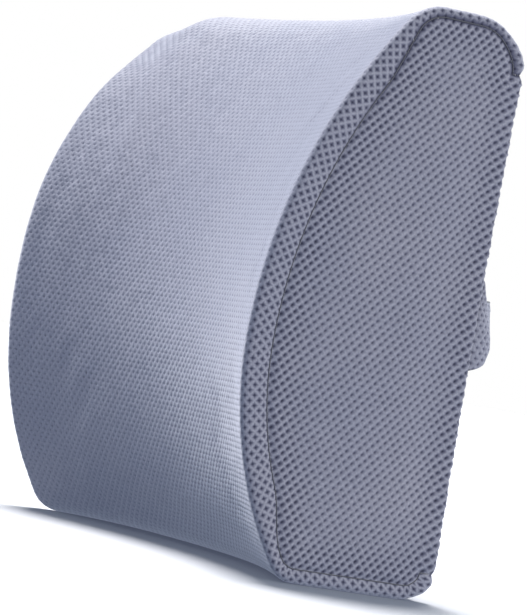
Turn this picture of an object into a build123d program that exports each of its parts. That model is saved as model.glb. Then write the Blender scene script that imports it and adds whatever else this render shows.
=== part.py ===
from build123d import *
from math import cos, radians, sin
import os

# Lumbar support cushion: a foam block in a zipped spacer-mesh cover, with an elastic strap and
# a side-release buckle behind it that hold it on a chair back.
# Millimetres. +Z is up, the saddle-shaped front faces -Y, and the flat back faces +Y.
# The origin is the centre of the bounding box's bottom face, so the cushion stands on z = 0.

# ---- driving dimensions: cushion ----
WIDTH = 340.0
HEIGHT = 320.0
WAIST_DEPTH = 135.0  # back plane to front at the side panels, where the D is deepest
WAIST_Z = 125.0
TOP_DEPTH = 64.0  # the same where the front meets the top and the base, before rounding
BASE_DEPTH = 92.0
SADDLE_SAG = 30.0  # how far the front's middle lies behind its two side lobes
TOP_FRONT_R = 18.0
BASE_FRONT_R = 15.0
TOP_BACK_R = 14.0
BASE_BACK_R = 20.0
COVER = 5.0  # spacer mesh thickness
LINER = 0.8
FOAM_GAP = 0.2

# ---- driving dimensions: zipper across the lower back ----
ZIP_Z = 58.0
ZIP_HALF = 145.0
SLOT_HALF = 9.0  # half the height of the gap between the two back panels
CHAIN_DEPTH = 2.2  # from the cover's outer surface in to the chain's middle plane
COIL_WIDE = 2.4
COIL_THICK = 2.2
COIL_START = -139.0
COIL_END = 141.0
TAPE_WIDE = 11.0
TAPE_THICK = 0.6
HEM_THICK = 1.7  # panel edge that folds over the tape
STOP_LENGTH = 2.5
TOP_STOP_X = -143.2
SLIDER_X = -135.5
SLIDER_LENGTH = 12.0
SLIDER_WIDE = 8.4
PLATE_THICK = 1.0
PLATE_GAP = 0.3  # between a slider plate and the coils
FLANGE_DROP = 0.7
FLANGE_WIDE = 1.3
POST_LENGTH = 1.8
ARCH_LENGTH = 6.4
ARCH_HEIGHT = 3.0
ARCH_WIRE = 1.0
ARCH_WIDE = 1.6
PIN_R = 0.6
PIN_LIFT = 1.0  # pull's pin above the slider's front plate
EYE_WINDOW = 4.3
EYE_HALF = 1.5
PULL_LENGTH = 26.0
PULL_NECK = 5.6
PULL_WIDE = 7.4

# ---- driving dimensions: strap and buckle behind the back ----
STRAP_Z = 154.0
WEB_WIDE = 25.0
WEB_THICK = 1.4
LAYER_GAP = 2.4  # between the two webbing layers that run round a buckle bar
BAR_WIDE = 3.0
BAR_THICK = 2.2
TAB_ROOT_X = 166.5  # on the side panel's back edge, outside the back panel
TAB_TIP_X = 112.0
TAB_ROOT_WIDE = 50.0
TAB_TIP_WIDE = 32.0
TAB_THICK = 2.4
TAB_BEND_R = 12.0
LAP_X = 128.0  # webbing's fixed end, lapped behind the tab's tip
LAP_GAP = 0.3
TAIL_X = 92.0  # end of the free tail
PLUG_TURN_X = -48.0
BUCKLE_OUT = 20.0  # buckle's middle plane behind the back
BUCKLE_THICK = 12.0
BUCKLE_WIDE = 34.0
MOUTH_X = -8.0
SOCKET_BACK_X = 18.0
SOCKET_END_X = 30.0
BAR_X = 26.7  # both webbing bars' distance from the middle
CAVITY_END_X = 15.0
CAVITY_WIDE = 25.6
CAVITY_THICK = 7.4
WINDOW_X0 = -1.5
WINDOW_X1 = 11.5
FIT_GAP = 0.4
RAIL_IN = 13.3  # webbing slots' half width
FRAME_THICK = 10.0
PLUG_BASE_X = -22.0
PLUG_END_X = -30.0
PLUG_WIDE = 32.0
TONGUE_END_X = 12.0
TONGUE_WIDE = 6.0
ARM_THICK = 5.8
KEEPER_X = 65.0
KEEPER_LENGTH = 10.0
KEEPER_WALL = 1.2

# ---- places that follow from them ----
HALF = WIDTH / 2
REACH = BUCKLE_OUT + BUCKLE_THICK / 2
BACK_Y = (WAIST_DEPTH - REACH) / 2
SIDE_IN = HALF - COVER  # side panels' inner plane
BACK_IN = BACK_Y - COVER  # back panels' inner plane
WAIST_R = (HALF**2 + SADDLE_SAG**2) / (2 * SADDLE_SAG)
AXIS_OUT = WAIST_R + WAIST_DEPTH - SADDLE_SAG  # saddle's axis, in front of the back plane
SADDLE_SWEEP = 48.0  # degrees of the revolve, which reach past both side panels
CHAIN_Y = BACK_Y - CHAIN_DEPTH
FRONT_PLATE_Y = CHAIN_Y + COIL_THICK / 2 + PLATE_GAP
REAR_PLATE_Y = CHAIN_Y - COIL_THICK / 2 - PLATE_GAP
ARCH_BASE_Y = FRONT_PLATE_Y + PLATE_THICK
PIN_Y = ARCH_BASE_Y + PIN_LIFT
BUCKLE_Y = BACK_Y + BUCKLE_OUT
WEB_TURN_R = (LAYER_GAP + WEB_THICK) / 2
INNER_WEB_Y = BUCKLE_Y - WEB_TURN_R
OUTER_WEB_Y = BUCKLE_Y + WEB_TURN_R
TAB_Y = INNER_WEB_Y - WEB_THICK / 2 - LAP_GAP - TAB_THICK / 2


def box(x0, x1, y0, y1, z0, z1, mode=Mode.ADD):
    """A box between its six planes, in the builder that calls this."""
    with Locations(((x0 + x1) / 2, (y0 + y1) / 2, (z0 + z1) / 2)):
        Box(x1 - x0, y1 - y0, z1 - z0, mode=mode)


def saddle_radius(depth):
    """Distance from the saddle's axis of a front point with this depth at the side panels."""
    return (HALF**2 + (AXIS_OUT - depth) ** 2) ** 0.5


def cushion_form(inset):
    """The cushion's closed form, moved inwards by inset: a revolved saddle front, flat elsewhere."""
    turn = radians(SADDLE_SWEEP / 2)
    start = Plane(
        origin=(0, BACK_Y - AXIS_OUT, 0),
        x_dir=(sin(turn), cos(turn), 0),
        z_dir=(cos(turn), -sin(turn), 0),
    )
    waist = (saddle_radius(WAIST_DEPTH), WAIST_Z)
    top = (saddle_radius(TOP_DEPTH), HEIGHT)
    base = (saddle_radius(BASE_DEPTH), 0)
    behind = AXIS_OUT + WAIST_DEPTH
    with BuildPart() as form:
        with BuildSketch(start) as profile:
            with BuildLine():
                TangentArc(waist, top, tangent=(0, 1))
                Polyline(top, (behind, HEIGHT), (behind, 0), base)
                TangentArc(waist, base, tangent=(0, -1))
            make_face()
            front_corners = profile.vertices().filter_by_position(Axis.X, 0, behind - 1)
            fillet(front_corners.sort_by(Axis.Y)[-1], radius=TOP_FRONT_R)
            front_corners = profile.vertices().filter_by_position(Axis.X, 0, behind - 1)
            fillet(front_corners.sort_by(Axis.Y)[0], radius=BASE_FRONT_R)
            if inset:
                offset(amount=-inset, mode=Mode.REPLACE)
        revolve(axis=Axis(start.origin, (0, 0, 1)), revolution_arc=SADDLE_SWEEP)
        with BuildSketch(Plane.YZ) as slab:
            with Locations((BACK_Y - inset, HEIGHT / 2)):
                Rectangle(2 * WAIST_DEPTH, HEIGHT - 2 * inset, align=(Align.MAX, Align.CENTER))
            fillet(slab.vertices().group_by(Axis.X)[-1].sort_by(Axis.Y)[-1], radius=TOP_BACK_R - inset)
            fillet(slab.vertices().group_by(Axis.X)[-1].sort_by(Axis.Y)[0], radius=BASE_BACK_R - inset)
        extrude(amount=HALF - inset, both=True, mode=Mode.INTERSECT)
    return form.part


os.makedirs("parts", exist_ok=True)
outer_form = cushion_form(0)
lining_form = cushion_form(COVER)

# ---------------------------------------------------------------- filling

with BuildPart() as foam_core:
    add(cushion_form(COVER + LINER + FOAM_GAP))
foam_core.part.label = "foam_core"
export_step(foam_core.part, "parts/foam_core.step")

with BuildPart() as inner_liner:
    add(lining_form)
    add(cushion_form(COVER + LINER), mode=Mode.SUBTRACT)
inner_liner.part.label = "inner_liner"
export_step(inner_liner.part, "parts/inner_liner.step")

# ---------------------------------------------------------------- cover

# one panel that runs under the base, up the front and over the top
with BuildPart() as front_panel:
    add(outer_form)
    add(lining_form, mode=Mode.SUBTRACT)
    box(-SIDE_IN, SIDE_IN, -HALF, BACK_IN, 0, HEIGHT, mode=Mode.INTERSECT)
front_panel.part.label = "front_panel"
export_step(front_panel.part, "parts/front_panel.step")

for side, end in (("left", -1), ("right", 1)):
    x0, x1 = sorted((end * SIDE_IN, end * HALF))
    with BuildPart() as side_panel:
        add(outer_form)
        box(x0, x1, -HALF, HALF, 0, HEIGHT, mode=Mode.INTERSECT)
    side_panel.part.label = f"side_panel_{side}"
    export_step(side_panel.part, f"parts/side_panel_{side}.step")

# two back panels, seamed to each other past the zipper's ends, with a rebate for its tapes
for level, up in (("lower", -1), ("upper", 1)):
    z0, z1 = sorted((ZIP_Z, ZIP_Z + up * HEIGHT))
    slot_z0, slot_z1 = sorted((ZIP_Z, ZIP_Z + up * SLOT_HALF))
    tape_z0, tape_z1 = sorted((ZIP_Z, ZIP_Z + up * (COIL_WIDE + TAPE_WIDE + FIT_GAP)))
    with BuildPart() as back_panel:
        add(outer_form)
        box(-SIDE_IN, SIDE_IN, BACK_IN, HALF, z0, z1, mode=Mode.INTERSECT)
        box(-ZIP_HALF, ZIP_HALF, BACK_IN, HALF, slot_z0, slot_z1, mode=Mode.SUBTRACT)
        box(-ZIP_HALF, ZIP_HALF, BACK_IN, BACK_Y - HEM_THICK, tape_z0, tape_z1, mode=Mode.SUBTRACT)
    back_panel.part.label = f"back_panel_{level}"
    export_step(back_panel.part, f"parts/back_panel_{level}.step")

# ---------------------------------------------------------------- zipper

coil_y0, coil_y1 = CHAIN_Y - COIL_THICK / 2, CHAIN_Y + COIL_THICK / 2
for level, up in (("lower", -1), ("upper", 1)):
    z0, z1 = sorted((ZIP_Z, ZIP_Z + up * COIL_WIDE))
    with BuildPart() as zipper_coil:
        box(COIL_START, COIL_END, coil_y0, coil_y1, z0, z1)
        fillet(zipper_coil.edges().filter_by(Axis.X), radius=COIL_THICK / 4)
    zipper_coil.part.label = f"zipper_coil_{level}"
    export_step(zipper_coil.part, f"parts/zipper_coil_{level}.step")

    z0, z1 = sorted((ZIP_Z + up * COIL_WIDE, ZIP_Z + up * (COIL_WIDE + TAPE_WIDE)))
    with BuildPart() as zipper_tape:
        box(-ZIP_HALF, ZIP_HALF, CHAIN_Y - TAPE_THICK / 2, CHAIN_Y + TAPE_THICK / 2, z0, z1)
    zipper_tape.part.label = f"zipper_tape_{level}"
    export_step(zipper_tape.part, f"parts/zipper_tape_{level}.step")

# a top stop on each coil, and one bottom stop across both
with BuildPart() as zipper_end_stops:
    for up in (-1, 1):
        z0, z1 = sorted((ZIP_Z + up * COIL_WIDE / 4, ZIP_Z + up * COIL_WIDE))
        box(TOP_STOP_X - STOP_LENGTH / 2, TOP_STOP_X + STOP_LENGTH / 2, coil_y0, coil_y1, z0, z1)
    box(COIL_END, COIL_END + STOP_LENGTH, coil_y0, coil_y1, ZIP_Z - COIL_WIDE, ZIP_Z + COIL_WIDE)
zipper_end_stops.part.label = "zipper_end_stops"
export_step(zipper_end_stops.part, "parts/zipper_end_stops.step")

# slider: two plates with turned-in flanges, a post that parts the coils, and an arch for the pull
slider_x0, slider_x1 = SLIDER_X - SLIDER_LENGTH / 2, SLIDER_X + SLIDER_LENGTH / 2
with BuildPart() as zipper_slider:
    for plate_top in (ARCH_BASE_Y, REAR_PLATE_Y):
        with BuildSketch(Plane.XZ.offset(-plate_top)):
            with Locations((SLIDER_X, ZIP_Z)):
                RectangleRounded(SLIDER_LENGTH, SLIDER_WIDE, radius=FLANGE_WIDE)
        extrude(amount=PLATE_THICK)
    for up in (-1, 1):
        z0, z1 = sorted((ZIP_Z + up * SLIDER_WIDE / 2, ZIP_Z + up * (SLIDER_WIDE / 2 - FLANGE_WIDE)))
        flange_x0, flange_x1 = slider_x0 + FLANGE_WIDE, slider_x1 - FLANGE_WIDE
        box(flange_x0, flange_x1, FRONT_PLATE_Y - FLANGE_DROP, FRONT_PLATE_Y, z0, z1)
        box(flange_x0, flange_x1, REAR_PLATE_Y, REAR_PLATE_Y + FLANGE_DROP, z0, z1)
    post_half = POST_LENGTH / 2
    box(slider_x0, slider_x0 + POST_LENGTH, REAR_PLATE_Y, FRONT_PLATE_Y, ZIP_Z - post_half, ZIP_Z + post_half)
    with BuildSketch(Plane.XY.offset(ZIP_Z - ARCH_WIDE / 2)) as arch:
        with Locations((SLIDER_X, ARCH_BASE_Y)):
            Rectangle(ARCH_LENGTH, ARCH_HEIGHT, align=(Align.CENTER, Align.MIN))
        fillet(arch.vertices().group_by(Axis.Y)[-1], radius=ARCH_WIRE)
        with Locations((SLIDER_X, ARCH_BASE_Y)):
            inside = ARCH_LENGTH - 2 * ARCH_WIRE
            Rectangle(inside, ARCH_HEIGHT - ARCH_WIRE, align=(Align.CENTER, Align.MIN), mode=Mode.SUBTRACT)
    extrude(amount=ARCH_WIDE)
zipper_slider.part.label = "zipper_slider"
export_step(zipper_slider.part, "parts/zipper_slider.step")

# pull: a round pin under the slider's arch, two arms past it, and a grip with an oval hole
with BuildPart() as zipper_pull:
    with BuildSketch(Plane.XZ.offset(-PIN_Y - PIN_R)) as outline:
        with Locations((SLIDER_X, ZIP_Z)):
            Rectangle(PULL_LENGTH / 2, PULL_NECK, align=(Align.MIN, Align.CENTER))
        with Locations((SLIDER_X + PULL_LENGTH, ZIP_Z)):
            grip_length = PULL_LENGTH - EYE_WINDOW - PIN_R
            RectangleRounded(grip_length, PULL_WIDE, radius=2.4, align=(Align.MAX, Align.CENTER))
        with Locations((SLIDER_X, ZIP_Z)):
            Rectangle(EYE_WINDOW, 2 * EYE_HALF, align=(Align.MIN, Align.CENTER), mode=Mode.SUBTRACT)
        with Locations((SLIDER_X + PULL_LENGTH * 0.72, ZIP_Z)):
            SlotOverall(PULL_LENGTH * 0.3, PULL_WIDE * 0.36, mode=Mode.SUBTRACT)
    extrude(amount=2 * PIN_R)
    with Locations((SLIDER_X, PIN_Y, ZIP_Z)):
        Cylinder(PIN_R, PULL_NECK)
zipper_pull.part.label = "zipper_pull"
export_step(zipper_pull.part, "parts/zipper_pull.step")

# ---------------------------------------------------------------- strap

# tabs: sewn to the cover's back edges, they loop out behind it and taper towards the webbing
for side, end in (("left", -1), ("right", 1)):
    with BuildPart() as strap_tab:
        with BuildSketch(Plane.XY.offset(STRAP_Z - TAB_ROOT_WIDE / 2)):
            with BuildLine():
                root, bend, tip = (TAB_ROOT_X, BACK_Y), (TAB_ROOT_X, TAB_Y), (TAB_TIP_X, TAB_Y)
                FilletPolyline(root, bend, tip, radius=TAB_BEND_R)
            trace(line_width=TAB_THICK)
        extrude(amount=TAB_ROOT_WIDE)
        with BuildSketch(Plane.XZ.offset(-BACK_Y - REACH)):
            with BuildLine():
                wide_x = TAB_ROOT_X - TAB_BEND_R
                low, high = STRAP_Z - TAB_ROOT_WIDE / 2, STRAP_Z + TAB_ROOT_WIDE / 2
                tip_low, tip_high = STRAP_Z - TAB_TIP_WIDE / 2, STRAP_Z + TAB_TIP_WIDE / 2
                Polyline(
                    (HALF, low), (HALF, high), (wide_x, high), (TAB_TIP_X, tip_high),
                    (TAB_TIP_X, tip_low), (wide_x, low), close=True,
                )
            make_face()
        extrude(amount=REACH, mode=Mode.INTERSECT)
        if end < 0:
            mirror(about=Plane.YZ, mode=Mode.REPLACE)
    strap_tab.part.label = f"strap_tab_{side}"
    export_step(strap_tab.part, f"parts/strap_tab_{side}.step")

# webbing: from its lap on the tab, round the buckle's bar and back as a free or sewn tail
for side, end, tail_x in (("left", -1, -PLUG_TURN_X), ("right", 1, TAIL_X)):
    with BuildPart() as elastic_strap:
        with BuildSketch(Plane.XY.offset(STRAP_Z - WEB_WIDE / 2)):
            with BuildLine():
                Line((LAP_X, INNER_WEB_Y), (BAR_X, INNER_WEB_Y))
                ThreePointArc((BAR_X, INNER_WEB_Y), (BAR_X - WEB_TURN_R, BUCKLE_Y), (BAR_X, OUTER_WEB_Y))
                Line((BAR_X, OUTER_WEB_Y), (tail_x, OUTER_WEB_Y))
            trace(line_width=WEB_THICK)
        extrude(amount=WEB_WIDE)
        if end < 0:
            mirror(about=Plane.YZ, mode=Mode.REPLACE)
    elastic_strap.part.label = f"elastic_strap_{side}"
    export_step(elastic_strap.part, f"parts/elastic_strap_{side}.step")

# ---------------------------------------------------------------- buckle


def webbing_frame(body_x, end_x, bar_x, wide):
    """Two rails and the bar that the webbing turns round, in the builder that calls this."""
    x0, x1 = sorted((body_x, end_x))
    y0, y1 = BUCKLE_Y - FRAME_THICK / 2, BUCKLE_Y + FRAME_THICK / 2
    for up in (-1, 1):
        z0, z1 = sorted((STRAP_Z + up * RAIL_IN, STRAP_Z + up * wide / 2))
        box(x0, x1, y0, y1, z0, z1)
    away = (BAR_WIDE - BAR_THICK) / 2 if end_x > body_x else (BAR_THICK - BAR_WIDE) / 2
    with BuildSketch(Plane.XY.offset(STRAP_Z - RAIL_IN - FIT_GAP)) as bar:
        with Locations((bar_x + away, BUCKLE_Y)):
            SlotOverall(BAR_WIDE, BAR_THICK)
    extrude(bar.sketch, amount=2 * (RAIL_IN + FIT_GAP))


with BuildPart() as buckle_socket:
    half_wide, half_thick = BUCKLE_WIDE / 2, BUCKLE_THICK / 2
    z0, z1 = STRAP_Z - half_wide, STRAP_Z + half_wide
    box(MOUTH_X, SOCKET_BACK_X, BUCKLE_Y - half_thick, BUCKLE_Y + half_thick, z0, z1)
    fillet(buckle_socket.edges().filter_by(Axis.X), radius=3.0)
    y0, y1 = BUCKLE_Y - CAVITY_THICK / 2, BUCKLE_Y + CAVITY_THICK / 2
    cavity_z0, cavity_z1 = STRAP_Z - CAVITY_WIDE / 2, STRAP_Z + CAVITY_WIDE / 2
    box(MOUTH_X, CAVITY_END_X, y0, y1, cavity_z0, cavity_z1, mode=Mode.SUBTRACT)
    box(WINDOW_X0, WINDOW_X1, y0, y1, z0, z1, mode=Mode.SUBTRACT)
    webbing_frame(SOCKET_BACK_X, SOCKET_END_X, BAR_X, BUCKLE_WIDE)
buckle_socket.part.label = "buckle_socket"
export_step(buckle_socket.part, "parts/buckle_socket.step")

with BuildPart() as buckle_plug:
    z0, z1 = STRAP_Z - PLUG_WIDE / 2, STRAP_Z + PLUG_WIDE / 2
    y0, y1 = BUCKLE_Y - FRAME_THICK / 2, BUCKLE_Y + FRAME_THICK / 2
    box(PLUG_BASE_X, MOUTH_X - FIT_GAP, y0, y1, z0, z1)
    fillet(buckle_plug.edges().filter_by(Axis.X), radius=2.5)
    tongue_z0, tongue_z1 = STRAP_Z - TONGUE_WIDE / 2, STRAP_Z + TONGUE_WIDE / 2
    y0, y1 = BUCKLE_Y - ARM_THICK / 2, BUCKLE_Y + ARM_THICK / 2
    box(MOUTH_X - FIT_GAP, TONGUE_END_X, y0, y1, tongue_z0, tongue_z1)
    fillet(buckle_plug.edges().group_by(Axis.X)[-1], radius=1.2)
    webbing_frame(PLUG_BASE_X, PLUG_END_X, -BAR_X, PLUG_WIDE)
buckle_plug.part.label = "buckle_plug"
export_step(buckle_plug.part, "parts/buckle_plug.step")

# two springy arms beside the tongue, whose barbs stand in the socket's side windows
with BuildPart() as buckle_plug_arms:
    with BuildSketch(Plane.XZ.offset(-BUCKLE_Y - ARM_THICK / 2)):
        with BuildLine():
            arm_root, barb_x, tip_x = MOUTH_X - FIT_GAP, WINDOW_X0 + 0.6, TONGUE_END_X
            Polyline(
                (arm_root, STRAP_Z + 5.8), (arm_root, STRAP_Z + 9.4), (barb_x, STRAP_Z + 9.9),
                (barb_x, STRAP_Z + 17.4), (tip_x - 6, STRAP_Z + 18.2), (tip_x - 1, STRAP_Z + 12.4),
                (tip_x, STRAP_Z + 10.6), (tip_x, STRAP_Z + 8.4), (barb_x, STRAP_Z + 7.0), close=True,
            )
        make_face()
        mirror(about=Plane.XZ.offset(-STRAP_Z))
    extrude(amount=ARM_THICK)
buckle_plug_arms.part.label = "buckle_plug_arms"
export_step(buckle_plug_arms.part, "parts/buckle_plug_arms.step")

# keeper: a loop round both webbing layers that slides along them
with BuildPart() as strap_keeper:
    x0, x1 = KEEPER_X - KEEPER_LENGTH / 2, KEEPER_X + KEEPER_LENGTH / 2
    half_thick = WEB_TURN_R + WEB_THICK / 2 + FIT_GAP
    half_wide = WEB_WIDE / 2 + FIT_GAP
    y0, y1 = BUCKLE_Y - half_thick - KEEPER_WALL, BUCKLE_Y + half_thick + KEEPER_WALL
    z0, z1 = STRAP_Z - half_wide - KEEPER_WALL, STRAP_Z + half_wide + KEEPER_WALL
    box(x0, x1, y0, y1, z0, z1)
    fillet(strap_keeper.edges().filter_by(Axis.X), radius=1.0)
    y0, y1 = BUCKLE_Y - half_thick, BUCKLE_Y + half_thick
    box(x0, x1, y0, y1, STRAP_Z - half_wide, STRAP_Z + half_wide, mode=Mode.SUBTRACT)
strap_keeper.part.label = "strap_keeper"
export_step(strap_keeper.part, "parts/strap_keeper.step")
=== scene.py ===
import math

import bmesh
import bpy
import numpy as np
from mathutils import Matrix, Vector
from mathutils.kdtree import KDTree


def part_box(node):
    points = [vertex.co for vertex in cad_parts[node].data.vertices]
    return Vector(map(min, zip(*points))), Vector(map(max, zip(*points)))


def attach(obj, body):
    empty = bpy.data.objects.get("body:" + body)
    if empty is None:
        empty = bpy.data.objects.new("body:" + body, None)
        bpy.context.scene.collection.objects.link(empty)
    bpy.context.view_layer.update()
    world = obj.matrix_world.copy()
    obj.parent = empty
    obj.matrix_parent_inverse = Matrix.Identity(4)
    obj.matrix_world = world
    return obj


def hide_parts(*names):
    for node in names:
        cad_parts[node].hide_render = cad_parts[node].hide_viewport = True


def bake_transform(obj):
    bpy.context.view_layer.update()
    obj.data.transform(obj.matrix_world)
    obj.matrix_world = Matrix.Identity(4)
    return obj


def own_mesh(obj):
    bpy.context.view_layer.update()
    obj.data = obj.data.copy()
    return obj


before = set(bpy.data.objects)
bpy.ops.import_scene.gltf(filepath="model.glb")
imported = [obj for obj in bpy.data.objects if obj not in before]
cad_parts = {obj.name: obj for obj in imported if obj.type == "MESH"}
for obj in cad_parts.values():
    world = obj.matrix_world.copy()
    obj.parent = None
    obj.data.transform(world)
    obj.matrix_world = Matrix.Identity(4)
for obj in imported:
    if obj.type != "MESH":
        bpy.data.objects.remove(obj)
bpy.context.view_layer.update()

MM = 0.001
MIN_FACE = 1e-4  # twice the smallest area that a face may have, in square millimetres
rng = np.random.default_rng(340)


def node_box(name):
    """A CAD node's lowest and highest corner, in millimetres."""
    low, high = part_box(name)
    return np.array(low) / MM, np.array(high) / MM


# ---- sizes that the frame gives ----
side_low, side_high = node_box("side_panel_right")
socket_low, socket_high = node_box("buckle_socket")
coil_low, coil_high = node_box("zipper_coil_upper")
HALF = side_high[0]
HEIGHT = side_high[2]
BACK_Y = side_high[1]
WAIST_DEPTH = BACK_Y - side_low[1]
STRAP_Z = (socket_low[2] + socket_high[2]) / 2
BUCKLE_Y = (socket_low[1] + socket_high[1]) / 2
ZIP_Z = coil_low[2]
CHAIN_Y = (coil_low[1] + coil_high[1]) / 2

# ---- driving dimensions that repeat the CAD source ----
WAIST_Z = 125.0
TOP_DEPTH = 64.0
BASE_DEPTH = 92.0
SADDLE_SAG = 30.0
TOP_FRONT_R = 28.0  # the corners' radii are the fabric's own: the CAD has 18, 15, 14 and 20
BASE_FRONT_R = 17.0
TOP_BACK_R = 13.0
TOP_BACK_MORE = 15.0
BASE_BACK_R = 16.0
ZIP_HALF = 145.0
SLOT_HALF = 9.0
SLOT_CORNER_R = 5.0

# ---- cover: how the fabric goes round the edges ----
EDGE = 5.0  # how far the rounding at the side edges reaches along each face
BACK_EDGE = 4.5  # the same along the back's upright edges
SEAM_DEPTH = 1.5
SEAM_WIDE = 2.4
COVER_THICK = 3.4
TOP_DIP = 0.8
BASE_LIFT = 3.0

WAIST_R = (HALF**2 + SADDLE_SAG**2) / (2 * SADDLE_SAG)
AXIS_OUT = WAIST_R + WAIST_DEPTH - SADDLE_SAG
AXIS_Y = BACK_Y - AXIS_OUT


def smooth(t):
    t = np.clip(t, 0, 1)
    return t * t * (3 - 2 * t)


def eased(value, start, over):
    """0 up to start, 1 from start + over on, and a smooth rise between. A negative over runs downwards."""
    return smooth((value - start) / over)


class Graph:
    """The node tree of a material or a world."""

    def __init__(self, owner):
        owner.use_nodes = True
        self.owner, self.nodes, self.links = owner, owner.node_tree.nodes, owner.node_tree.links

    def set(self, node, **inputs):
        """Sets a node's inputs by their names, each to a constant or to another node's output."""
        for key, value in inputs.items():
            socket = node.inputs[key.replace("_", " ")]
            if isinstance(value, bpy.types.NodeSocket):
                self.links.new(value, socket)
            else:
                socket.default_value = value
        return node

    def add(self, kind, **inputs):
        return self.set(self.nodes.new(kind), **inputs)

    def texture(self, kind, **inputs):
        """A texture in the object's own coordinates."""
        coords = self.nodes.new("ShaderNodeTexCoord")
        return self.add(kind, Vector=coords.outputs["Object"], **inputs)

    def noise(self, scale, detail=3.0):
        return self.texture("ShaderNodeTexNoise", Scale=scale, Detail=detail).outputs["Fac"]

    def wave(self, axis, period):
        """Soft bands across an axis, with this period in millimetres."""
        scale = math.pi / (10 * period * MM)
        node = self.texture("ShaderNodeTexWave", Scale=scale, Distortion=0.5, Detail=1.0)
        node.bands_direction = axis
        return node.outputs["Fac"]

    def ramp(self, value, *stops):
        """The colours that a value runs through, as stops of (value, colour)."""
        node = self.add("ShaderNodeValToRGB", Fac=value)
        elements = node.color_ramp.elements
        while len(elements) < len(stops):
            elements.new(0.5)
        for element, (place, colour) in zip(elements, stops):
            element.position = place
            element.color = (*colour, 1)
        return node.outputs["Color"]

    def span(self, value, low, high, **limits):
        """A value between From_Min and From_Max, mapped to the range from low to high."""
        node = self.add("ShaderNodeMapRange", Value=value, To_Min=low, To_Max=high, **limits)
        return node.outputs["Result"]

    def mix(self, factor, a, b, data_type="RGBA", blend_type="MIX"):
        node = self.nodes.new("ShaderNodeMix")
        node.data_type, node.blend_type = data_type, blend_type
        return self.set(node, Factor=factor, A=a, B=b).outputs["Result"]

    def tinted(self, colour, other):
        """One colour times another."""
        return self.mix(1.0, colour, other, blend_type="MULTIPLY")

    def crossed(self, a, b):
        """One value times another."""
        node = self.nodes.new("ShaderNodeMath")
        node.operation = "MULTIPLY"
        for socket, value in zip(node.inputs, (a, b)):
            self.links.new(value, socket)
        return node.outputs["Value"]

    def bump(self, height, depth, strength):
        """The normal of a relief this deep, in millimetres."""
        node = self.add("ShaderNodeBump", Height=height, Distance=depth * MM, Strength=strength)
        return node.outputs["Normal"]

    def shaded(self, **inputs):
        """The material, with these inputs of its Principled shader set."""
        self.set(self.nodes["Principled BSDF"], **inputs)
        return self.owner


# ---------------------------------------------------------------- camera, floor and light

CAMERA_AZIMUTH = 64.4
CAMERA_ELEVATION = -1.25
CAMERA_DISTANCE = 2.0
CAMERA_TARGET = Vector((0, -0.0055, 0.160))
CAMERA_LENS = 201.5
CAMERA_PAN = -0.36
CAMERA_TILT = -0.43
CAMERA_ROLL = 10.12


def direction(azimuth, elevation):
    """Unit vector from the object towards something seen at this azimuth and elevation, in degrees."""
    a, e = math.radians(azimuth), math.radians(elevation)
    return Vector((math.sin(a) * math.cos(e), -math.cos(a) * math.cos(e), math.sin(e)))


def make_camera():
    back = direction(CAMERA_AZIMUTH, CAMERA_ELEVATION)
    turn = back.to_track_quat("Z", "Y").to_matrix().to_4x4()
    turn = turn @ Matrix.Rotation(math.radians(CAMERA_PAN), 4, "Y")
    turn = turn @ Matrix.Rotation(math.radians(CAMERA_TILT), 4, "X")
    turn = turn @ Matrix.Rotation(math.radians(CAMERA_ROLL), 4, "Z")
    data = bpy.data.cameras.new("camera")
    data.lens = CAMERA_LENS
    camera = bpy.data.objects.new("camera", data)
    camera.matrix_world = Matrix.Translation(CAMERA_TARGET + back * CAMERA_DISTANCE) @ turn
    bpy.context.scene.collection.objects.link(camera)
    bpy.context.scene.camera = camera


def sun(name, azimuth, elevation, strength, softness, colour=(1, 1, 1)):
    """A broad soft light from one direction. softness is its angular width, in degrees."""
    data = bpy.data.lights.new(name, "SUN")
    data.energy = strength
    data.angle = math.radians(softness)
    data.color = colour
    light = bpy.data.objects.new(name, data)
    light.rotation_euler = direction(azimuth, elevation).to_track_quat("Z", "Y").to_euler()
    bpy.context.scene.collection.objects.link(light)
    return light


SKY_ABOVE = 0.42
SKY_BELOW = 0.70
SKY_COLOUR = (0.70, 0.82, 1.0)
WHITE = (1, 1, 1, 1)


def make_world():
    """A white backdrop. Its soft light on the object is stronger from below than from above."""
    graph = Graph(bpy.data.worlds.new("studio"))
    coords = graph.nodes.new("ShaderNodeTexCoord")
    split = graph.add("ShaderNodeSeparateXYZ", Vector=coords.outputs["Generated"])
    glow = graph.span(split.outputs["Z"], SKY_BELOW, SKY_ABOVE, From_Min=-0.6, From_Max=0.8)
    seen = graph.nodes.new("ShaderNodeLightPath").outputs["Is Camera Ray"]
    graph.set(graph.nodes["Background"], Strength=graph.mix(seen, glow, 1.0, data_type="FLOAT"),
              Color=graph.mix(seen, (*SKY_COLOUR, 1), WHITE))
    bpy.context.scene.world = graph.owner


FLOOR_REACH = 30.0


def make_floor():
    mesh = bpy.data.meshes.new("floor")
    corners = [(x * FLOOR_REACH, y * FLOOR_REACH, 0) for x, y in ((-1, -1), (1, -1), (1, 1), (-1, 1))]
    mesh.from_pydata(corners, [], [(0, 1, 2, 3)])
    floor = bpy.data.objects.new("floor", mesh)
    graph = Graph(bpy.data.materials.new("pale_floor"))
    mesh.materials.append(graph.shaded(Base_Color=(0.62, 0.62, 0.64, 1), Roughness=0.9))
    floor.visible_diffuse = False
    bpy.context.scene.collection.objects.link(floor)
    return floor


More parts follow.
